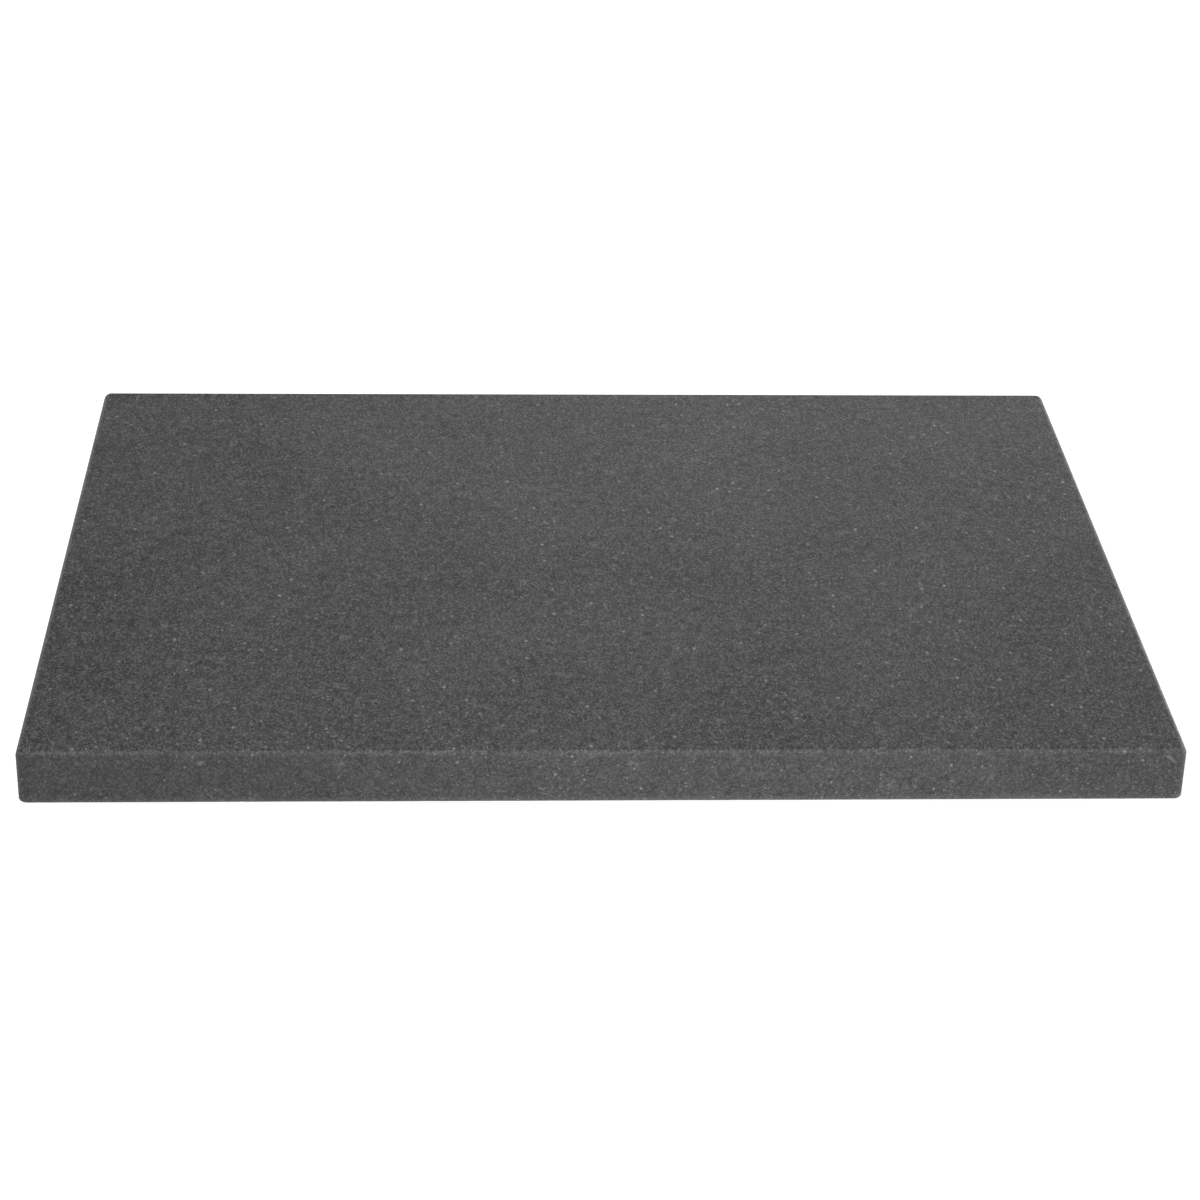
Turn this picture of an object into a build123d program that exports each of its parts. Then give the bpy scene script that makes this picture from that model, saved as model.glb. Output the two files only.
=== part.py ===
"""Granite slab for tooling and skiving leather, in millimetres.

One solid block of honed granite stands on four low rubber feet.  A die-cut disc of
double-sided adhesive holds each foot to the sawn underside of the stone.

+Z is up and +X runs along the long sides.  The origin is the middle of the footprint,
on the surface that the feet stand on.
"""

import os

from build123d import *

# Stone
SLAB_LENGTH = 400.0
SLAB_WIDTH = 300.0
SLAB_THICKNESS = 20.0
CORNER_RADIUS = 3.0  # the four upright corners, seen from above
TOP_ROUND = 2.2  # eased edge between the honed top and the sides
BOTTOM_ARRIS = 1.0  # narrow bevel between the sides and the sawn underside

# Feet
FOOT_DIAMETER = 25.0  # at the back, where the foot is widest
FOOT_HEIGHT = 2.0
FOOT_DRAFT = 0.5  # how much the radius shrinks from the back down to the sole
SOLE_BEVEL = 0.3  # broken edge around the sole
FOOT_INSET = 40.0  # from the sides of the stone to the middle of a foot

# Grip rings moulded into each sole, counted inwards from the rim
GROOVE_COUNT = 2
GROOVE_WIDTH = 1.4
GROOVE_DEPTH = 0.7
LAND_WIDTH = 2.2  # rubber left standing beside a groove

# Adhesive
ADHESIVE_THICKNESS = 0.3
ADHESIVE_MARGIN = 1.0  # bare rubber left around the disc

# Levels above the surface that the feet stand on
FOOT_TOP = FOOT_HEIGHT
UNDERSIDE = FOOT_TOP + ADHESIVE_THICKNESS
SLAB_TOP = UNDERSIDE + SLAB_THICKNESS

ON_LEVEL = (Align.CENTER, Align.CENTER, Align.MIN)


def foot_places():
    """Name and centre of each foot, as seen by someone working at the front of the slab."""
    reach_x = SLAB_LENGTH / 2 - FOOT_INSET
    reach_y = SLAB_WIDTH / 2 - FOOT_INSET
    for depth_name, y in (("front", -reach_y), ("back", reach_y)):
        for side_name, x in (("left", -reach_x), ("right", reach_x)):
            yield f"{depth_name}_{side_name}", x, y


def make_slab():
    """The stone: rounded corners in plan, an eased top edge and a narrow arris below."""
    outline = Plane.XY.offset(UNDERSIDE) * RectangleRounded(SLAB_LENGTH, SLAB_WIDTH, CORNER_RADIUS)
    slab = extrude(outline, SLAB_THICKNESS)
    top_edges = slab.faces().sort_by(Axis.Z)[-1].edges()
    slab = fillet(top_edges, TOP_ROUND)
    underside_edges = slab.faces().sort_by(Axis.Z)[0].edges()
    return chamfer(underside_edges, BOTTOM_ARRIS)


def make_grip_ring(outer_radius):
    """The ring of rubber that a groove takes out of the sole."""
    inner_radius = outer_radius - GROOVE_WIDTH
    ring = Cylinder(outer_radius, GROOVE_DEPTH, align=ON_LEVEL)
    return ring - Cylinder(inner_radius, GROOVE_DEPTH, align=ON_LEVEL)


def make_foot():
    """A low moulded disc with a drafted rim and grip rings in its sole, at the origin."""
    back_radius = FOOT_DIAMETER / 2
    sole_radius = back_radius - FOOT_DRAFT
    foot = Cone(sole_radius, back_radius, FOOT_HEIGHT, align=ON_LEVEL)
    sole_edge = foot.faces().sort_by(Axis.Z)[0].edges()
    foot = chamfer(sole_edge, SOLE_BEVEL)
    for ring_number in range(GROOVE_COUNT):
        inwards = LAND_WIDTH + ring_number * (GROOVE_WIDTH + LAND_WIDTH)
        foot -= make_grip_ring(sole_radius - inwards)
    return foot


def make_adhesive_disc():
    """The double-sided disc on the back of a foot, at the origin of that foot."""
    radius = FOOT_DIAMETER / 2 - ADHESIVE_MARGIN
    return Pos(0, 0, FOOT_TOP) * Cylinder(radius, ADHESIVE_THICKNESS, align=ON_LEVEL)


def make_nodes():
    """Every separate piece, under the name of its node."""
    nodes = {"granite_slab": make_slab()}
    for place, x, y in foot_places():
        nodes[f"foot_{place}"] = Pos(x, y, 0) * make_foot()
        nodes[f"adhesive_disc_{place}"] = Pos(x, y, 0) * make_adhesive_disc()
    return nodes


def main():
    os.makedirs("parts", exist_ok=True)
    for name, shape in make_nodes().items():
        export_step(shape, f"parts/{name}.step")


if __name__ == "__main__":
    main()
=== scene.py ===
"""Honed granite slab for leatherwork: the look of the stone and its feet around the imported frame.

The stone is cut from one block: its corners and edges are rounded, worn and chipped, and it
takes a fine-grained granite finish.  Four moulded rubber feet replace their plain frame
parts, and the adhesive discs keep theirs.  The slab stands on a glowing white floor under
soft lamps.  Lengths are metres, +Z is up.
"""

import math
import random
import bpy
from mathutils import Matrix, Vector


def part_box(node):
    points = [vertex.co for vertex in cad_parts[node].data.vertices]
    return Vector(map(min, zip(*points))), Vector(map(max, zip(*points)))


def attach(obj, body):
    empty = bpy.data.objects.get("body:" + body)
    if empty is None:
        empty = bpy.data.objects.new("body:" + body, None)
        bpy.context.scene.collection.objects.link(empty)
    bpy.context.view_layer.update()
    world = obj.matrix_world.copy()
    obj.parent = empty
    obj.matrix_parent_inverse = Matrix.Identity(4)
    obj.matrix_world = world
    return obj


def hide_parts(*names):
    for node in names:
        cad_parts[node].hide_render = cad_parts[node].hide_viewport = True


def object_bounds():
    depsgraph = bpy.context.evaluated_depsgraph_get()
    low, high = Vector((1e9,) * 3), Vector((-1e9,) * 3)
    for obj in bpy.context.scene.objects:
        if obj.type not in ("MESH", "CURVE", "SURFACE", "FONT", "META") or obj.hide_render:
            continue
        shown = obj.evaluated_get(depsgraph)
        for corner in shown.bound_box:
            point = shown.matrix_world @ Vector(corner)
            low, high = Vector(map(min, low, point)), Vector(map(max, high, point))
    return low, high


bl_info = {
    "name": "Leatherworker's Granite Slab",
    "version": (1, 0, 0),
    "blender": (4, 5, 0),
    "location": "3D View > Sidebar > Granite Slab",
    "description": "Cuts and finishes a honed granite slab on low rubber feet",
    "category": "Object",
}

import bmesh
import bpy
from bpy.props import FloatProperty, FloatVectorProperty, IntProperty, PointerProperty
from mathutils import Euler, Matrix, Vector

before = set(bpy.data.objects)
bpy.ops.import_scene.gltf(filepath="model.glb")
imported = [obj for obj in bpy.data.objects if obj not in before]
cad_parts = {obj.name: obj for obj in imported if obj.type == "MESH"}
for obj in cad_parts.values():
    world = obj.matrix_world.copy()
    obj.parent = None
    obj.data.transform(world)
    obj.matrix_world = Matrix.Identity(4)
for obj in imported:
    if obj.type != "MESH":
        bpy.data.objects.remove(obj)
CAD_BOX = [list(corner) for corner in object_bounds()]
STONE_LOW, STONE_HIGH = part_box("granite_slab")
STONE_SIZE = STONE_HIGH - STONE_LOW
STONE_MIDDLE = (STONE_LOW + STONE_HIGH) / 2
FOOT_NODES = sorted(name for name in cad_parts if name.startswith("foot_"))
DISC_NODES = sorted(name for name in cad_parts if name.startswith("adhesive_disc_"))

MM = 0.001
SNAP = 0.01 * MM  # two places closer than this are the same place
QUARTER_TURN = math.radians(90)
STRIP_LEVEL, STRIP_HEIGHT = 12 * MM, 14 * MM  # where the middle of a low lamp is, and its size
WORN = "worn_edge"  # the vertex group that wear acts on
MAP_WIDTH = 1024 * 0.46 * MM  # the length of stone across its whole flat map, at the top's scale

# Bruised spots on the front of the stone: share of its length from the left end, share of
# its height from the underside, half width, half height and turn in degrees.
FRONT_BRUISES = (
    (0.156, 0.80, 1.7 * MM, 0.9 * MM, 15),
    (0.985, 0.83, 2.6 * MM, 0.8 * MM, -38),
)

# Chips that stand out: side, rim, share of that side from its left end, and width.
CLEAR_CHIPS = (
    ("back", "top", 0.25, 1.5 * MM),
    ("back", "top", 0.31, 1.2 * MM),
    ("back", "top", 0.66, 2.4 * MM),
    ("back", "top", 0.68, 1.8 * MM),
    ("back", "top", 0.75, 1.6 * MM),
    ("front", "bottom", 0.19, 1.8 * MM),
    ("front", "bottom", 0.225, 1.8 * MM),
    ("front", "bottom", 0.565, 1.8 * MM),
    ("front", "bottom", 0.615, 1.4 * MM),
    ("front", "bottom", 0.725, 1.8 * MM),
    ("front", "bottom", 0.77, 1.5 * MM),
    ("front", "bottom", 0.81, 1.3 * MM),
)


# ---------------------------------------------------------------- settings


class StoneSettings(bpy.types.PropertyGroup):
    """Sizes and colours of the stone."""

    corner_radius: FloatProperty(
        name="Corner radius", description="Rounding of the upright corners, seen from above",
        default=3 * MM, min=0, subtype="DISTANCE", unit="LENGTH")
    top_round: FloatProperty(
        name="Top round", description="Rounding between the honed top and the sides",
        default=2.2 * MM, min=0, subtype="DISTANCE", unit="LENGTH")
    bottom_arris: FloatProperty(
        name="Bottom arris", description="Narrow broken edge around the underside",
        default=1 * MM, min=0, subtype="DISTANCE", unit="LENGTH")
    edge_wear: FloatProperty(
        name="Edge wear", description="How deep handling has worn the rounded edges",
        default=0.3 * MM, min=0, subtype="DISTANCE", unit="LENGTH")
    stray_chips: IntProperty(
        name="Stray chips", description="Small chips scattered around the edges", default=44, min=0)
    dark_mineral: FloatVectorProperty(
        name="Dark mineral", description="Colour of the dark ground of the granite",
        default=(0.006, 0.006, 0.006), size=3, min=0, max=1, subtype="COLOR")
    pale_mineral: FloatVectorProperty(
        name="Pale mineral", description="Colour of the lighter crystals in the ground",
        default=(0.118, 0.118, 0.118), size=3, min=0, max=1, subtype="COLOR")
    speck: FloatVectorProperty(
        name="Speck", description="Colour of the scattered pale specks",
        default=(0.28, 0.28, 0.28), size=3, min=0, max=1, subtype="COLOR")


class FootSettings(bpy.types.PropertyGroup):
    """Sizes and colours of the stick-on feet."""

    draft: FloatProperty(
        name="Draft", description="How much the radius shrinks from the back to the sole",
        default=0.5 * MM, min=0, subtype="DISTANCE", unit="LENGTH")
    land_width: FloatProperty(
        name="Land width", description="Rubber left standing beside a grip ring",
        default=2.2 * MM, min=0, subtype="DISTANCE", unit="LENGTH")
    groove_width: FloatProperty(
        name="Groove width", description="Width of a grip ring in the sole",
        default=1.4 * MM, min=0, subtype="DISTANCE", unit="LENGTH")
    groove_depth: FloatProperty(
        name="Groove depth", description="Depth of a grip ring in the sole",
        default=0.7 * MM, min=0, subtype="DISTANCE", unit="LENGTH")
    edge_round: FloatProperty(
        name="Edge round", description="Rounding of the moulded edges",
        default=0.2 * MM, min=0, subtype="DISTANCE", unit="LENGTH")
    rubber: FloatVectorProperty(
        name="Rubber", description="Colour of the moulded rubber",
        default=(0.022, 0.022, 0.023), size=3, min=0, max=1, subtype="COLOR")
    adhesive: FloatVectorProperty(
        name="Adhesive", description="Colour of the double-sided adhesive",
        default=(0.62, 0.60, 0.54), size=3, min=0, max=1, subtype="COLOR")


class StudioSettings(bpy.types.PropertyGroup):
    """The floor, the lights and the camera."""

    floor: FloatVectorProperty(
        name="Floor", description="Colour of the pale floor and wall",
        default=(0.25, 0.25, 0.25), size=3, min=0, max=1, subtype="COLOR")
    glow: FloatProperty(
        name="Glow", description="Light that comes through the translucent floor and wall",
        default=0.97, min=0)
    floor_radius: FloatProperty(
        name="Floor radius", description="Distance from the stone to the wall",
        default=12, min=1, subtype="DISTANCE", unit="LENGTH")
    wall_height: FloatProperty(
        name="Wall height", description="Height of the wall around the floor",
        default=3, min=0.1, subtype="DISTANCE", unit="LENGTH")
    lens: FloatProperty(
        name="Lens", description="Focal length of the camera, in millimetres", default=91.4, min=1)
    sky: FloatProperty(
        name="Sky", description="Brightness of the even light from all around", default=0.09, min=0)


# ---------------------------------------------------------------- modelling by hand


def deselect_all():
    if bpy.context.object and bpy.context.object.mode != "OBJECT":
        bpy.ops.object.mode_set(mode="OBJECT")
    bpy.ops.object.select_all(action="DESELECT")


def pick(*objects):
    """Selects only these objects; the last one is active."""
    deselect_all()
    for piece in objects:
        piece.select_set(True)
    bpy.context.view_layer.objects.active = objects[-1]


def begin_edit(piece, mode):
    """Enters edit mode on one piece, with nothing selected in it."""
    pick(piece)
    bpy.ops.object.mode_set(mode="EDIT")
    bpy.ops.mesh.select_mode(type=mode)
    bpy.ops.mesh.select_all(action="DESELECT")


def end_edit():
    bpy.ops.object.mode_set(mode="OBJECT")


def select_edges(piece, test):
    """Selects the edges for which test(first corner, second corner) is true."""
    mesh = bmesh.from_edit_mesh(piece.data)
    bpy.ops.mesh.select_all(action="DESELECT")
    for edge in mesh.edges:
        first, second = (corner.co for corner in edge.verts)
        if test(first, second):
            edge.select_set(True)
    bmesh.update_edit_mesh(piece.data)


def select_faces(piece, test):
    """Selects the faces for which test(middle, normal) is true."""
    mesh = bmesh.from_edit_mesh(piece.data)
    bpy.ops.mesh.select_all(action="DESELECT")
    for face in mesh.faces:
        if test(face.calc_center_median(), face.normal):
            face.select_set(True)
    bmesh.update_edit_mesh(piece.data)


def cut_across(piece, place, normal):
    """Cuts through the whole piece with a plane, and keeps both sides."""
    bpy.ops.mesh.select_all(action="SELECT")
    bpy.ops.mesh.bisect(plane_co=place, plane_no=normal, threshold=SNAP)


def apply_modifier(piece, kind, **settings):
    modifier = piece.modifiers.new(kind.title(), kind)
    for name, value in settings.items():
        setattr(modifier, name, value)
    pick(piece)
    bpy.ops.object.modifier_apply(modifier=modifier.name)


def settle(piece):
    """Leaves the object at the origin, unturned and unscaled, with its place in its mesh."""
    pick(piece)
    bpy.ops.object.transform_apply(location=True, rotation=True, scale=True)


# ---------------------------------------------------------------- shader nodes


def new_material(name):
    material = bpy.data.materials.new(name)
    material.use_nodes = True
    tree = material.node_tree
    tree.nodes.clear()
    shader = tree.nodes.new("ShaderNodeBsdfPrincipled")
    output = tree.nodes.new("ShaderNodeOutputMaterial")
    tree.links.new(shader.outputs["BSDF"], output.inputs["Surface"])
    return material, tree, shader


def add_node(tree, kind, sockets, **settings):
    """Adds a node; sockets gives a value or a link for its inputs by name or number."""
    made = tree.nodes.new(kind)
    for name, value in settings.items():
        setattr(made, name, value)
    for key, value in sockets.items():
        socket = made.inputs[key]
        if isinstance(value, bpy.types.NodeSocket):
            tree.links.new(value, socket)
        else:
            socket.default_value = value
    return made


def calculate(tree, operation, *values):
    """A Math node on these values."""
    return add_node(tree, "ShaderNodeMath", dict(enumerate(values)), operation=operation).outputs[0]


def spread(tree, value, low, high, to_low=0.0, to_high=1.0, curve="LINEAR"):
    """Maps value from low..high to to_low..to_high, and clamps it."""
    sockets = {"Value": value, "From Min": low, "From Max": high, "To Min": to_low, "To Max": to_high}
    return add_node(tree, "ShaderNodeMapRange", sockets, interpolation_type=curve).outputs["Result"]


def blend_colour(tree, share, under, over, how="MIX"):
    """Two colours blended. The Mix node has sockets for numbers and vectors before its colours."""
    first_colour, second_colour, blended = 6, 7, 2
    sockets = {"Factor": share, first_colour: under, second_colour: over}
    made = add_node(tree, "ShaderNodeMix", sockets, data_type="RGBA", blend_type=how)
    return made.outputs[blended]


def lighten(tree, share, colour, extra):
    """Adds the same to each channel of a colour, by a share."""
    return blend_colour(tree, share, colour, (extra, extra, extra, 1), how="ADD")


def object_place(tree):
    return tree.nodes.new("ShaderNodeTexCoord").outputs["Object"]


def moved_place(tree, place, offset, scale=(1, 1, 1)):
    sockets = {"Vector": place, "Location": offset, "Scale": scale}
    return add_node(tree, "ShaderNodeMapping", sockets).outputs["Vector"]


def clouds(tree, place, size, detail=3.0, roughness=0.5):
    """Soft noise whose features are about this size."""
    sockets = {"Vector": place, "Scale": 1 / size, "Detail": detail, "Roughness": roughness}
    return add_node(tree, "ShaderNodeTexNoise", sockets).outputs["Fac"]


def crystals(tree, place, size):
    """Cells about this wide: how far a point lies from its cell's middle, and two random shares."""
    sockets = {"Vector": place, "Scale": 1 / size, "Randomness": 1.0}
    cells = add_node(tree, "ShaderNodeTexVoronoi", sockets)
    shares = add_node(tree, "ShaderNodeSeparateColor", {"Color": cells.outputs["Color"]})
    return cells.outputs["Distance"], shares.outputs["Red"], shares.outputs["Green"]


def specks(tree, place, spacing, radius, kept):
    """Round specks in some of the cells; each has its own brightness. Radius and spacing are lengths."""
    distance, chance, strength = crystals(tree, place, spacing)
    reach = radius / spacing
    dot = spread(tree, distance, reach * 1.5, reach * 0.3, curve="SMOOTHSTEP")
    present = spread(tree, chance, 1 - kept, 1 - kept + 0.02)
    shown = calculate(tree, "MULTIPLY", dot, present)
    return calculate(tree, "MULTIPLY", shown, spread(tree, strength, 0, 1, 0.35, 1))


# ---------------------------------------------------------------- materials


def bruise(tree, place, along, up, half_width, half_height, turn):
    """A soft oval mark on the front of the stone, with a ragged outline."""
    centre = Vector((STONE_LOW.x + along * STONE_SIZE.x, STONE_LOW.y, STONE_LOW.z + up * STONE_SIZE.z))
    tear_size, tear_reach, depth = 1.5 * MM, 1.6 * MM, 2 * MM
    noise = add_node(tree, "ShaderNodeTexNoise", {"Vector": place, "Scale": 1 / tear_size})
    sockets = {0: noise.outputs["Color"], 1: (0.5, 0.5, 0.5)}
    ragged = add_node(tree, "ShaderNodeVectorMath", sockets, operation="SUBTRACT").outputs[0]
    sockets = {0: ragged, 1: (tear_reach, tear_reach, tear_reach), 2: place}
    pushed = add_node(tree, "ShaderNodeVectorMath", sockets, operation="MULTIPLY_ADD").outputs[0]
    sockets = {"Vector": pushed, "Location": centre, "Rotation": (0, math.radians(-turn), 0),
               "Scale": (half_width, depth, half_height)}
    local = add_node(tree, "ShaderNodeMapping", sockets, vector_type="TEXTURE").outputs["Vector"]
    away = add_node(tree, "ShaderNodeVectorMath", {0: local}, operation="LENGTH").outputs["Value"]
    return spread(tree, away, 1.3, 0.4, curve="SMOOTHSTEP")


def saw_marks(tree, place):
    """Shallow arcs that a large saw blade leaves across the underside."""
    blade_hub, arc_spacing = (0.15, 1.4, 0), 2.5 * MM
    away = add_node(tree, "ShaderNodeVectorMath", {0: place, 1: blade_hub}, operation="DISTANCE")
    sockets = {"W": away.outputs["Value"], "Scale": 1 / arc_spacing, "Detail": 3.0}
    arcs = add_node(tree, "ShaderNodeTexNoise", sockets, noise_dimensions="1D").outputs["Fac"]
    return spread(tree, arcs, 0.35, 0.65)


def crystal_ground(tree, place, sawn, stone):
    """Crystals of two sizes over soft clouds, from dark to pale, duller where they are sawn.

    The crystals lie along the stone's grain, from front to back, and few of them are pale.
    Gives their colour, the tiny and the small crystals by themselves, and the widest clouds.
    """
    fewer_pale = 3.0  # the power that darkens most of the crystals
    grain = moved_place(tree, place, (0, 0, 0), scale=(1, 0.6, 1))
    tiny = crystals(tree, grain, size=0.42 * MM)[1]
    tiny = calculate(tree, "POWER", tiny, fewer_pale)
    small = crystals(tree, moved_place(tree, grain, (1.7, 0.3, 0.9)), size=0.95 * MM)[1]
    small = calculate(tree, "POWER", small, fewer_pale)
    broad = clouds(tree, place, size=4.5 * MM, detail=4, roughness=0.6)
    drift = clouds(tree, moved_place(tree, place, (0.4, 0.1, 0.7)), size=60 * MM, detail=2)
    ground = calculate(tree, "MULTIPLY", tiny, 0.57)
    for layer, weight in ((small, 0.25), (broad, 0.40), (drift, 0.15)):
        ground = calculate(tree, "MULTIPLY_ADD", layer, weight, ground)
    dark, pale = stone.dark_mineral, stone.pale_mineral
    colour = blend_colour(tree, spread(tree, ground, 0.215, 0.855), (*dark, 1), (*pale, 1))
    lost_contrast = 0.42
    dull = tuple(low * 0.58 + high * 0.42 for low, high in zip(dark, pale))
    colour = blend_colour(tree, calculate(tree, "MULTIPLY", sawn, lost_contrast), colour, (*dull, 1))
    return colour, tiny, small, drift


def pale_marks(tree, place, small, drift, sawn):
    """Specks, soft patches and the bruises, as a share from the ground's colour to the speck's.

    Specks are thicker where the clouds are light and towards the front right corner, and the
    weak ones don't show on sawn stone.
    """
    fine_strength, patch_strength, bruise_strength = 0.6, 0.26, 0.28
    grain = moved_place(tree, place, (0, 0, 0), scale=(1, 0.72, 1))
    large_place = moved_place(tree, grain, (0.2, 0.8, 0.5))
    large = specks(tree, large_place, spacing=5 * MM, radius=0.6 * MM, kept=0.65)
    fine_place = moved_place(tree, grain, (0.6, 0.4, 0.1))
    fine = specks(tree, fine_place, spacing=2.5 * MM, radius=0.45 * MM, kept=0.5)
    marks = calculate(tree, "MAXIMUM", large, calculate(tree, "MULTIPLY", fine, fine_strength))
    to_front_right = {0: place, 1: (0.8, -0.7, 0)}
    lean = add_node(tree, "ShaderNodeVectorMath", to_front_right, operation="DOT_PRODUCT")
    thick = calculate(tree, "ADD", drift, lean.outputs["Value"])
    marks = calculate(tree, "MULTIPLY", marks, spread(tree, thick, 0.36, 0.6, 0.66, 1))
    marks = spread(tree, marks, calculate(tree, "MULTIPLY", sawn, 0.18), 1)

    patch_place = moved_place(tree, place, (0.9, 0.2, 0.3))
    patch = specks(tree, patch_place, spacing=11 * MM, radius=2.4 * MM, kept=0.6)
    ragged = calculate(tree, "MULTIPLY", spread(tree, small, 0.0, 0.6), patch_strength)
    marks = calculate(tree, "MAXIMUM", marks, calculate(tree, "MULTIPLY", patch, ragged))
    for along, up, half_width, half_height, turn in FRONT_BRUISES:
        mark = bruise(tree, place, along, up, half_width, half_height, turn)
        marks = calculate(tree, "MAXIMUM", marks, calculate(tree, "MULTIPLY", mark, bruise_strength))
    return marks


def unhoned_stone_and_floor_bounce(tree, place, underneath, kerf):
    """How raw the stone is, from 0 where it is honed to 1 in the chips.

    The saw arcs and the underside come between, and so does a painted band of floor light that grows
    lighter towards the foot of the sides.
    """
    bare = add_node(tree, "ShaderNodeAttribute", {}, attribute_name="bare_stone").outputs["Fac"]
    sawn_flat = calculate(tree, "MULTIPLY_ADD", kerf, 0.6, calculate(tree, "MULTIPLY", underneath, 0.4))
    level = add_node(tree, "ShaderNodeSeparateXYZ", {0: place}).outputs["Z"]
    # Painted light reflected from the floor: the sides are painted paler towards their foot
    bounce_top, bounce_foot = STONE_LOW.z + 3.2 * MM, STONE_LOW.z + 0.3 * MM
    floor_bounce = spread(tree, level, bounce_top, bounce_foot, to_high=0.65, curve="SMOOTHSTEP")
    return calculate(tree, "MAXIMUM", calculate(tree, "MAXIMUM", bare, sawn_flat), floor_bounce)


def granite_material(stone):
    """Fine dark granite: honed on top, sawn on the sides and the underside, paler in the chips, with a
    painted highlight on the rims and painted floor light low on the sides.
    """
    material, tree, shader = new_material("honed_granite")
    place = object_place(tree)
    normal = tree.nodes.new("ShaderNodeTexCoord").outputs["Normal"]
    upwards = add_node(tree, "ShaderNodeSeparateXYZ", {0: normal}).outputs["Z"]
    sawn = spread(tree, upwards, 0.9, 0.3)
    underneath = spread(tree, upwards, -0.6, -0.95)
    kerf = calculate(tree, "MULTIPLY", saw_marks(tree, place), underneath)
    rim_highlight = add_node(tree, "ShaderNodeAttribute", {}, attribute_name="painted_rim_highlight").outputs["Fac"]

    colour, tiny, small, drift = crystal_ground(tree, place, sawn, stone)
    pale = pale_marks(tree, place, small, drift, sawn)
    raw_and_floor_bounce = unhoned_stone_and_floor_bounce(tree, place, underneath, kerf)
    colour = blend_colour(tree, pale, colour, (*stone.speck, 1))
    # Paler where the stone is raw, and painted paler low on the sides where floor light would fall
    colour = blend_colour(tree, raw_and_floor_bounce, colour, lighten(tree, 1.0, colour, 0.04))
    # Painted highlight: the rounded rims are lightened, the right rim most, where light would catch them
    colour = lighten(tree, rim_highlight, colour, 0.095)
    tree.links.new(colour, shader.inputs["Base Color"])

    rough = spread(tree, small, 0, 1, 0.48, 0.62)
    rough = calculate(tree, "MULTIPLY_ADD", pale, -0.12, rough)
    rough = calculate(tree, "MULTIPLY_ADD", calculate(tree, "MAXIMUM", raw_and_floor_bounce, rim_highlight), 0.22, rough)
    tree.links.new(rough, shader.inputs["Roughness"])
    shader.inputs["Specular IOR Level"].default_value = 0.21

    height = calculate(tree, "MULTIPLY_ADD", tiny, 0.5, small)
    saw_depth = 6  # the saw arcs are this much deeper than the crystals
    height = calculate(tree, "MULTIPLY_ADD", kerf, saw_depth, height)
    bump = add_node(tree, "ShaderNodeBump", {"Height": height, "Strength": 0.35, "Distance": 0.03 * MM})
    tree.links.new(bump.outputs["Normal"], shader.inputs["Normal"])
    return material


def rubber_material(foot):
    """Matte moulded rubber with a fine stipple and a dusty bloom."""
    material, tree, shader = new_material("moulded_rubber")
    place = object_place(tree)
    stipple = crystals(tree, place, 0.35 * MM)[0]
    bloom = clouds(tree, place, 5 * MM, detail=5, roughness=0.65)
    dusty = tuple(min(1, channel * 2.4) for channel in foot.rubber)
    colour = blend_colour(tree, spread(tree, bloom, 0.38, 0.68), (*foot.rubber, 1), (*dusty, 1))
    tree.links.new(colour, shader.inputs["Base Color"])
    tree.links.new(spread(tree, bloom, 0.3, 0.7, 0.62, 0.85), shader.inputs["Roughness"])
    bump = add_node(tree, "ShaderNodeBump", {"Height": stipple, "Strength": 0.8, "Distance": 0.08 * MM})
    tree.links.new(bump.outputs["Normal"], shader.inputs["Normal"])
    return material


def adhesive_material(foot):
    """Off-white double-sided adhesive with faint fibres, yellowed in places and fairly glossy."""
    material, tree, shader = new_material("adhesive")
    place = object_place(tree)
    fibres = clouds(tree, moved_place(tree, place, (0, 0, 0), (1, 0.2, 1)), 0.5 * MM, detail=4)
    yellowed = (foot.adhesive[0] * 0.9, foot.adhesive[1] * 0.84, foot.adhesive[2] * 0.72, 1)
    colour = blend_colour(tree, spread(tree, fibres, 0.35, 0.7), (*foot.adhesive, 1), yellowed)
    tree.links.new(colour, shader.inputs["Base Color"])
    tree.links.new(spread(tree, fibres, 0.3, 0.7, 0.3, 0.5), shader.inputs["Roughness"])
    return material


def floor_material(studio):
    """A plain translucent white floor, lit from beneath, with the faintest unevenness."""
    material, tree, shader = new_material("pale_floor")
    place = object_place(tree)
    uneven = clouds(tree, place, 300 * MM, detail=2)
    low = tuple(channel * 0.99 for channel in studio.floor)
    colour = blend_colour(tree, uneven, (*low, 1), (*studio.floor, 1))
    tree.links.new(colour, shader.inputs["Base Color"])
    shader.inputs["Roughness"].default_value = 0.9
    shader.inputs["Specular IOR Level"].default_value = 0.1
    shader.inputs["Emission Color"].default_value = (1, 1, 1, 1)
    shader.inputs["Emission Strength"].default_value = studio.glow
    return material


# ---------------------------------------------------------------- the stone


def along_x(first, second):
    return abs(first.y - second.y) < SNAP and abs(first.z - second.z) < SNAP


def along_y(first, second):
    return abs(first.x - second.x) < SNAP and abs(first.z - second.z) < SNAP


def round_edges(block, settings):
    """Rounds the upright corners first, and then the rims of the top and the underside."""
    begin_edit(block, "EDGE")
    select_edges(block, lambda a, b: abs(a.z - b.z) > STONE_SIZE.z / 2)
    bpy.ops.mesh.bevel(offset=settings.corner_radius, segments=6, affect="EDGES")
    select_edges(block, lambda a, b: min(a.z, b.z) > STONE_HIGH.z - SNAP)
    bpy.ops.mesh.bevel(offset=settings.top_round, segments=6, affect="EDGES")
    select_edges(block, lambda a, b: max(a.z, b.z) < STONE_LOW.z + SNAP)
    bpy.ops.mesh.bevel(offset=settings.bottom_arris, segments=3, affect="EDGES")
    end_edit()


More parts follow.
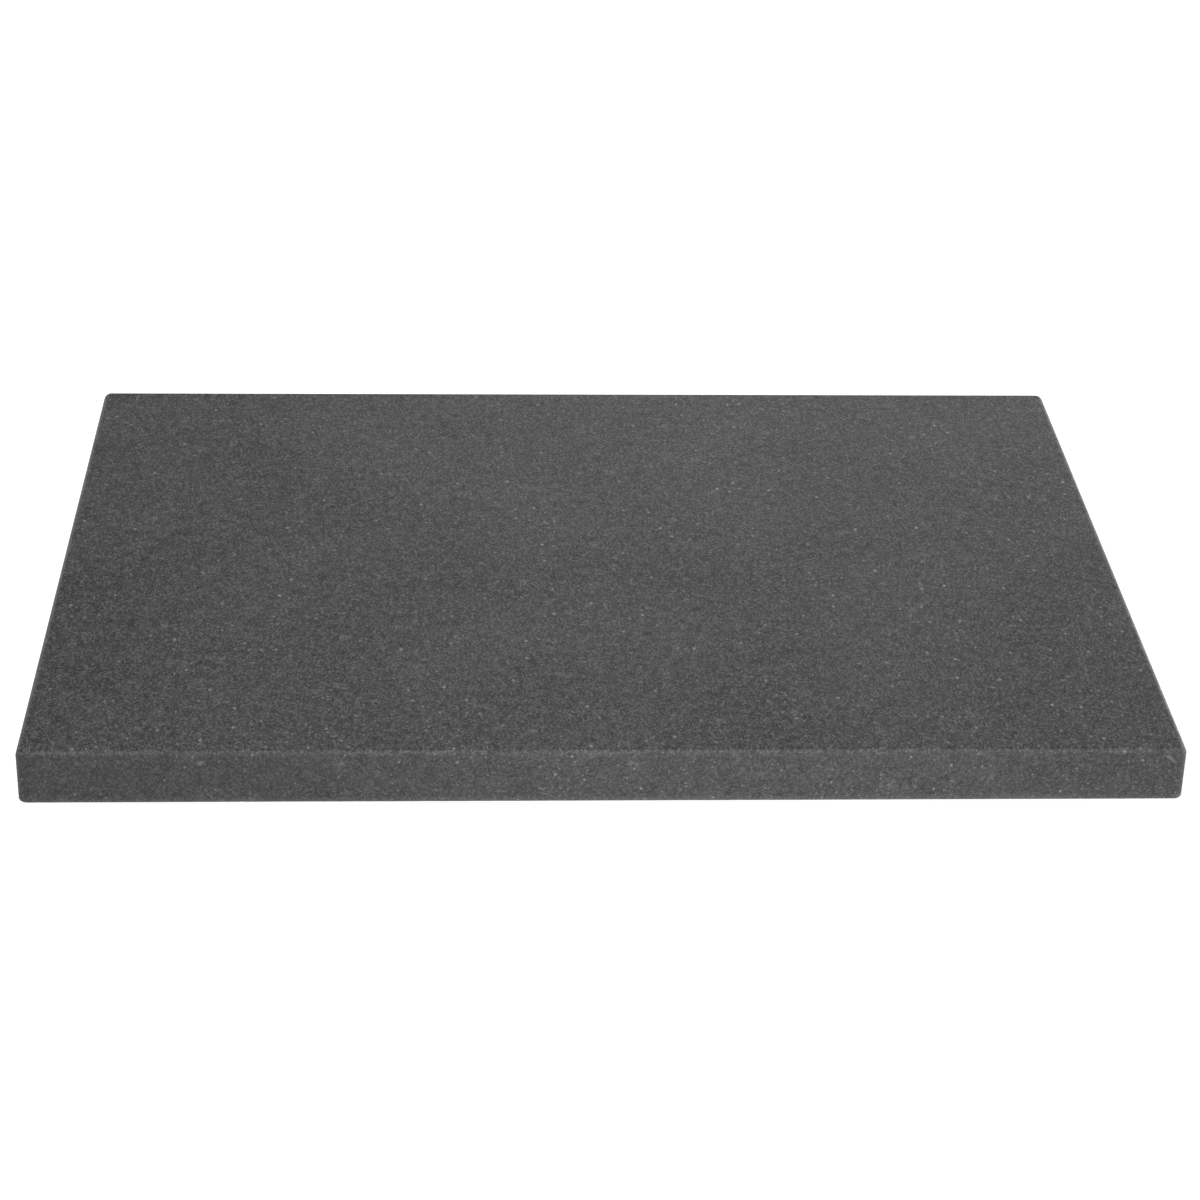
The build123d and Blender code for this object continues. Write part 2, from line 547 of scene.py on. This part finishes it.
def add_supporting_cuts(block, settings):
    """Narrow rings beside the rounded edges keep the flat faces flat, and a grid parts them."""
    margin = 0.5 * MM
    pitch = 25 * MM
    begin_edit(block, "FACE")
    select_faces(block, lambda middle, normal: abs(normal.z) > 0.999)
    bpy.ops.mesh.inset(thickness=margin, use_even_offset=True)
    cut_across(block, (0, 0, STONE_HIGH.z - settings.top_round - margin), (0, 0, 1))
    cut_across(block, (0, 0, STONE_LOW.z + settings.bottom_arris + margin), (0, 0, 1))
    for axis in (0, 1):
        normal = Vector((axis == 0, axis == 1, 0))
        cells = round(STONE_SIZE[axis] / pitch)
        for number in range(1, cells):
            place = STONE_LOW[axis] + number * STONE_SIZE[axis] / cells
            cut_across(block, normal * place, normal)
    end_edit()


def divide_rims(block, settings):
    """Divides what runs along the rims finely enough for wear and chips to show."""
    inside_x = STONE_HIGH.x - settings.top_round - MM
    inside_y = STONE_HIGH.y - settings.top_round - MM
    begin_edit(block, "EDGE")
    select_edges(block, lambda a, b: along_x(a, b) and abs(a.y) > inside_y and abs(a.x - b.x) > 15 * MM
                 or along_y(a, b) and abs(a.x) > inside_x and abs(a.y - b.y) > 15 * MM)
    bpy.ops.mesh.subdivide(number_cuts=12)
    end_edit()


def edge_share(height, settings):
    """How exposed the stone is at this height.

    0 on the flat faces, 1 in the middle of the round top rim and half on the narrow lower rim.
    """
    if height > STONE_MIDDLE.z:
        rise = (height - STONE_HIGH.z + settings.top_round) / settings.top_round
        most = 1.0
    else:
        rise = (STONE_LOW.z + settings.bottom_arris - height) / settings.bottom_arris
        most = 0.5
    rise = min(max(rise, 0), 1)
    return most * 4 * rise**2 * (1 - rise**2)


def wear_edges(block, settings):
    """Wears the rounded edges by a little, unevenly. The flat faces stay where they are."""
    group = block.vertex_groups.new(name=WORN)
    for vertex in block.data.vertices:
        group.add([vertex.index], edge_share(vertex.co.z, settings), "REPLACE")
    for name, size, share in (("slow_wear", 14 * MM, 0.65), ("quick_wear", 3 * MM, 0.35)):
        texture = bpy.data.textures.new(name, "CLOUDS")
        texture.noise_scale = size
        apply_modifier(block, "DISPLACE", texture=texture, texture_coords="LOCAL", direction="NORMAL",
                       vertex_group=WORN, mid_level=1.0, strength=settings.edge_wear * share)
    block.vertex_groups.clear()


def rim_place(side, rim, share, settings):
    """A point on the middle of a rounded rim and the way out of the stone there.

    share runs from the left end of that side, as seen from the front, or from its front end.
    """
    radius = settings.top_round if rim == "top" else settings.bottom_arris
    sunk = radius * (1 - math.sqrt(0.5))
    x = STONE_LOW.x + share * STONE_SIZE.x
    y = STONE_LOW.y + share * STONE_SIZE.y
    outwards, point = {
        "front": (Vector((0, -1, 0)), Vector((x, STONE_LOW.y + sunk, 0))),
        "back": (Vector((0, 1, 0)), Vector((x, STONE_HIGH.y - sunk, 0))),
        "left": (Vector((-1, 0, 0)), Vector((STONE_LOW.x + sunk, y, 0))),
        "right": (Vector((1, 0, 0)), Vector((STONE_HIGH.x - sunk, y, 0))),
    }[side]
    up = 1 if rim == "top" else -1
    point.z = STONE_HIGH.z - sunk if rim == "top" else STONE_LOW.z + sunk
    return point, (outwards + Vector((0, 0, up))).normalized()


def list_chips(settings, chance):
    """The clear chips, and small stray ones spread at random over all the rims."""
    chips = list(CLEAR_CHIPS)
    sides = ["front"] * 4 + ["back"] * 4 + ["left"] * 3 + ["right"] * 3
    for number in range(settings.stray_chips):
        rim = "bottom" if number % 3 else "top"
        width = (0.5 + 0.7 * chance.random() ** 2) * MM
        chips.append((chance.choice(sides), rim, 0.02 + 0.96 * chance.random(), width))
    return chips


def chip_cutters(settings):
    """One lump for each chip, all in one object, each biting into a rim from outside."""
    chance = random.Random(11)
    deselect_all()
    bpy.ops.mesh.primitive_ico_sphere_add(subdivisions=2, radius=1.0)
    lump = bpy.context.object
    lump.name = "chip_lump"
    begin_edit(lump, "VERT")
    bpy.ops.mesh.select_all(action="SELECT")
    bpy.ops.transform.vertex_random(offset=0.16, uniform=1.0, normal=0.0, seed=5)
    end_edit()
    cutters = []
    for side, rim, share, width in list_chips(settings, chance):
        point, outwards = rim_place(side, rim, share, settings)
        length, reach = width / 2, width * (0.32 + 0.12 * chance.random())
        bite = min(reach * (0.45 + 0.3 * chance.random()), 0.9 * MM)
        cutter = lump.copy()
        cutter.data = lump.data.copy()
        bpy.context.scene.collection.objects.link(cutter)
        spin = Matrix.Rotation(chance.uniform(0, math.tau), 4, "X")
        turn = outwards.to_track_quat("Z", "X" if side in ("left", "right") else "Y").to_matrix().to_4x4()
        if side in ("left", "right"):
            stretch = Matrix.Diagonal((reach, length, reach, 1))
        else:
            stretch = Matrix.Diagonal((length, reach, reach, 1))
        centre = point + outwards * (reach - bite)
        cutter.matrix_world = Matrix.Translation(centre) @ turn @ stretch @ spin
        cutters.append(cutter)
    bpy.data.objects.remove(lump)
    pick(*cutters)
    bpy.ops.object.join()
    joined = bpy.context.object
    settle(joined)
    return joined


def chip_edges(block, settings):
    """Takes the chips out of the rims, and marks the stone that they lay bare."""
    cutters = chip_cutters(settings)
    broken = bpy.data.materials.new("broken")
    cutters.data.materials.clear()
    cutters.data.materials.append(broken)
    apply_modifier(block, "BOOLEAN", operation="DIFFERENCE", solver="EXACT", object=cutters,
                   material_mode="TRANSFER", use_self=True)
    bpy.data.objects.remove(cutters)
    bare = block.data.attributes.new("bare_stone", "FLOAT", "FACE")
    slots = [face.material_index for face in block.data.polygons]
    bare.data.foreach_set("value", [float(slot > 0) for slot in slots])
    for face in block.data.polygons:
        face.material_index = 0
    while len(block.data.materials) > 1:
        block.data.materials.pop(index=-1)
    bpy.data.materials.remove(broken)


def paint_rim_highlight(block, settings):
    """Marks how much painted highlight each place on the rims gets, strongest along the right rim, as if
    light from the right caught it.
    """
    less_elsewhere = 0.6
    shares = []
    for vertex in block.data.vertices:
        from_right = min((STONE_HIGH.x - vertex.co.x) / settings.top_round, 1)
        shares.append(edge_share(vertex.co.z, settings) * (1 - less_elsewhere * from_right))
    rim_highlight = block.data.attributes.new("painted_rim_highlight", "FLOAT", "POINT")
    rim_highlight.data.foreach_set("value", shares)


def lay_out_map(block):
    """A flat map in true scale: the top large, the four sides beside it, the underside smaller."""
    gap = 0.006  # between the parts of the map, as a share of its width
    small = 0.4  # the underside's share of the top's scale
    wide, deep, tall = (size / MAP_WIDTH for size in STONE_SIZE)
    corners = {
        "top": (gap, gap),
        "left": (2 * gap + wide, gap),
        "right": (3 * gap + wide + tall, gap),
        "front": (gap, 2 * gap + deep),
        "back": (gap, 3 * gap + deep + tall),
        "underside": (gap, 4 * gap + deep + 2 * tall),
    }
    mesh = bmesh.new()
    mesh.from_mesh(block.data)
    layer = mesh.loops.layers.uv.new("OFBake")
    for face in mesh.faces:
        normal = face.normal
        if normal.z > 0.6:
            part, across, up, scale = "top", 0, 1, 1
        elif normal.z < -0.6:
            part, across, up, scale = "underside", 0, 1, small
        elif abs(normal.x) > abs(normal.y):
            part, across, up, scale = ("right" if normal.x > 0 else "left"), 2, 1, 1
        else:
            part, across, up, scale = ("back" if normal.y > 0 else "front"), 0, 2, 1
        start = corners[part]
        for loop in face.loops:
            local = (loop.vert.co - STONE_LOW) * (scale / MAP_WIDTH)
            loop[layer].uv = (start[0] + local[across], start[1] + local[up])
    mesh.to_mesh(block.data)
    mesh.free()


class GRANITE_OT_cut_stone(bpy.types.Operator):
    """Cut the stone from a block, round, wear and chip its edges, and give it its finish"""

    bl_idname = "granite_slab.cut_stone"
    bl_label = "Cut Stone"

    def execute(self, context):
        settings = context.scene.granite_stone
        deselect_all()
        bpy.ops.mesh.primitive_cube_add(size=1, location=STONE_MIDDLE, scale=STONE_SIZE)
        block = context.object
        block.name = "honed_stone"
        settle(block)
        round_edges(block, settings)
        add_supporting_cuts(block, settings)
        divide_rims(block, settings)
        wear_edges(block, settings)
        block.data.materials.append(granite_material(settings))
        chip_edges(block, settings)
        paint_rim_highlight(block, settings)
        lay_out_map(block)
        pick(block)
        bpy.ops.object.shade_smooth_by_angle(angle=math.radians(32))
        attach(block, "root")
        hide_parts("granite_slab")
        return {"FINISHED"}


# ---------------------------------------------------------------- the feet


def mould_foot(name, low, high, settings):
    """One foot: a disc drafted towards the sole, with grip rings pressed into the sole."""
    middle = (low + high) / 2
    back_radius = (high.x - low.x) / 2
    height = high.z - low.z
    deselect_all()
    bpy.ops.mesh.primitive_cylinder_add(vertices=96, radius=back_radius, depth=height, location=middle)
    foot = bpy.context.object
    foot.name = name
    settle(foot)
    begin_edit(foot, "FACE")
    select_faces(foot, lambda place, normal: normal.z < -0.999)
    sole_share = (back_radius - settings.draft) / back_radius
    bpy.ops.transform.resize(value=(sole_share, sole_share, 1), center_override=middle)
    outer = back_radius - settings.draft
    for _ in range(2):
        bpy.ops.mesh.inset(thickness=settings.land_width)
        outer -= settings.land_width
        bpy.ops.mesh.inset(thickness=settings.groove_width)
        inner = outer - settings.groove_width
        press_ring(foot, middle, low.z, inner, outer, settings.groove_depth)
        outer = inner
        select_faces(foot, lambda place, normal: near_middle(place, middle, low.z, inner))
    end_edit()
    apply_modifier(foot, "BEVEL", width=settings.edge_round, segments=3, limit_method="ANGLE",
                   angle_limit=math.radians(40), harden_normals=False)
    pick(foot)
    bpy.ops.object.shade_smooth_by_angle(angle=math.radians(50))
    return foot


def near_middle(place, middle, level, radius):
    flat_way = Vector((place.x - middle.x, place.y - middle.y))
    return abs(place.z - level) < SNAP and flat_way.length < radius * 0.5


def press_ring(foot, middle, level, inner, outer, depth):
    """Pushes the ring of faces between two radii up into the foot."""
    def in_ring(place, normal):
        away = Vector((place.x - middle.x, place.y - middle.y)).length
        return abs(place.z - level) < SNAP and inner < away < outer
    select_faces(foot, in_ring)
    bpy.ops.mesh.extrude_region_move(TRANSFORM_OT_translate={"value": (0, 0, depth)})


class GRANITE_OT_mould_feet(bpy.types.Operator):
    """Mould a rubber foot in the place of each plain one"""

    bl_idname = "granite_slab.mould_feet"
    bl_label = "Mould Feet"

    def execute(self, context):
        settings = context.scene.granite_feet
        material = rubber_material(settings)
        for node in FOOT_NODES:
            foot = mould_foot("rubber_" + node, *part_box(node), settings)
            foot.data.materials.append(material)
            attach(foot, "root")
            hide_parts(node)
        return {"FINISHED"}


class GRANITE_OT_finish_adhesive(bpy.types.Operator):
    """Give the adhesive discs their finish"""

    bl_idname = "granite_slab.finish_adhesive"
    bl_label = "Finish Adhesive"

    def execute(self, context):
        material = adhesive_material(context.scene.granite_feet)
        for node in DISC_NODES:
            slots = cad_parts[node].data.materials
            slots.clear()
            slots.append(material)
        return {"FINISHED"}


# ---------------------------------------------------------------- the studio


def lay_floor(studio):
    """A round floor that runs up into a low wall through a wide cove, with no line between them."""
    level = CAD_BOX[0][2]
    deselect_all()
    bpy.ops.mesh.primitive_circle_add(vertices=96, radius=studio.floor_radius, fill_type="NGON",
                                      location=(0, 0, level))
    floor = bpy.context.object
    floor.name = "studio_floor"
    settle(floor)
    begin_edit(floor, "EDGE")
    bpy.ops.mesh.select_all(action="SELECT")
    bpy.ops.mesh.region_to_loop()
    bpy.ops.mesh.extrude_edges_move(TRANSFORM_OT_translate={"value": (0, 0, studio.wall_height)})
    select_edges(floor, lambda a, b: max(a.z, b.z) < level + SNAP)
    bpy.ops.mesh.bevel(offset=studio.wall_height * 0.9, segments=8, affect="EDGES")
    bpy.ops.mesh.select_all(action="SELECT")
    bpy.ops.mesh.normals_make_consistent(inside=True)
    end_edit()
    bpy.ops.object.shade_smooth()
    floor.data.materials.append(floor_material(studio))


def hang_lamp(name, place, width, height, power):
    """A soft panel that faces the middle of the stone and doesn't show itself."""
    lamp = bpy.data.lights.new(name, "AREA")
    lamp.shape = "RECTANGLE"
    lamp.size, lamp.size_y = width, height
    lamp.energy = power
    holder = bpy.data.objects.new(name, lamp)
    bpy.context.scene.collection.objects.link(holder)
    holder.visible_camera = False
    holder.location = place
    holder.rotation_euler = (STONE_MIDDLE - Vector(place)).to_track_quat("-Z", "Y").to_euler()


def set_sun(name, elevation, bearing, softness, strength):
    """Broad, even light. bearing 0 comes from the front and 90 from the right, in degrees."""
    lamp = bpy.data.lights.new(name, "SUN")
    lamp.angle = math.radians(softness)
    lamp.energy = strength
    holder = bpy.data.objects.new(name, lamp)
    bpy.context.scene.collection.objects.link(holder)
    tilt = QUARTER_TURN - math.radians(elevation)
    holder.rotation_euler = Euler((tilt, 0, math.radians(bearing)))


def light_studio(studio):
    """Even light from above, two large lamps behind, and low strips in front and on the right."""
    world = bpy.data.worlds.new("even_light")
    world.use_nodes = True
    world.node_tree.nodes["Background"].inputs["Color"].default_value = (1, 1, 1, 1)
    world.node_tree.nodes["Background"].inputs["Strength"].default_value = studio.sky
    bpy.context.scene.world = world
    set_sun("top_light", elevation=80, bearing=0, softness=60, strength=1.7)
    hang_lamp("back_bank", (0.4, 1.38, 0.6), width=1.2, height=0.5, power=2.9)
    hang_lamp("top_bank", (-0.1, 0.37, 0.9), width=0.6, height=0.6, power=3.0)
    # The strips stay below the top of the stone, so they light its sides and rims only
    hang_lamp("front_strip", (0.04, -0.33, STRIP_LEVEL), width=0.18, height=STRIP_HEIGHT, power=0.18)
    hang_lamp("right_strip", (0.62, -0.30, STRIP_LEVEL), width=0.18, height=STRIP_HEIGHT, power=1.4)
    hang_lamp("side_strip", (0.75, 0.2, STRIP_LEVEL), width=0.3, height=STRIP_HEIGHT, power=1.6)
    bpy.context.scene.view_settings.view_transform = "Standard"


def set_camera(studio):
    """Looks down over the front edge, a little from the left and turned slightly."""
    length = STONE_SIZE.x
    from_underside = Vector((-0.125, -2.602, 1.372)) * length
    down, aside, roll = math.radians(27.81), math.radians(2.99), math.radians(1.36)
    camera = bpy.data.cameras.new("camera")
    camera.lens = studio.lens
    camera.sensor_width = 36
    camera.clip_end = 100
    holder = bpy.data.objects.new("camera", camera)
    bpy.context.scene.collection.objects.link(holder)
    eye = Matrix.Translation(from_underside + Vector((0, 0, STONE_LOW.z)))
    look = Euler((QUARTER_TURN - down, 0, -aside)).to_matrix().to_4x4()
    holder.matrix_world = eye @ look @ Matrix.Rotation(roll, 4, "Z")
    bpy.context.scene.camera = holder


class GRANITE_OT_set_stage(bpy.types.Operator):
    """Lay the floor, set the lights and place the camera"""

    bl_idname = "granite_slab.set_stage"
    bl_label = "Set Stage"

    def execute(self, context):
        studio = context.scene.granite_studio
        set_camera(studio)
        light_studio(studio)
        lay_floor(studio)
        return {"FINISHED"}


# ---------------------------------------------------------------- add-on


class GRANITE_PT_slab(bpy.types.Panel):
    """Sizes, colours and steps of the granite slab"""

    bl_idname = "GRANITE_PT_slab"
    bl_label = "Granite Slab"
    bl_space_type = "VIEW_3D"
    bl_region_type = "UI"
    bl_category = "Granite Slab"

    def draw(self, context):
        layout = self.layout
        for group in ("granite_stone", "granite_feet", "granite_studio"):
            settings = getattr(context.scene, group)
            box = layout.box()
            for name in settings.__annotations__:
                box.prop(settings, name)
        for step in STEPS:
            layout.operator(step.bl_idname)


SETTINGS = {"granite_stone": StoneSettings, "granite_feet": FootSettings, "granite_studio": StudioSettings}
STEPS = (GRANITE_OT_set_stage, GRANITE_OT_cut_stone, GRANITE_OT_mould_feet, GRANITE_OT_finish_adhesive)


def register():
    for kind in (*SETTINGS.values(), *STEPS, GRANITE_PT_slab):
        bpy.utils.register_class(kind)
    for name, group in SETTINGS.items():
        setattr(bpy.types.Scene, name, PointerProperty(type=group))


def unregister():
    for name in SETTINGS:
        delattr(bpy.types.Scene, name)
    for kind in (GRANITE_PT_slab, *reversed(STEPS), *SETTINGS.values()):
        bpy.utils.unregister_class(kind)


def main():
    register()
    bpy.ops.granite_slab.set_stage()
    bpy.ops.granite_slab.cut_stone()
    bpy.ops.granite_slab.mould_feet()
    bpy.ops.granite_slab.finish_adhesive()


if __name__ == "__main__":
    main()
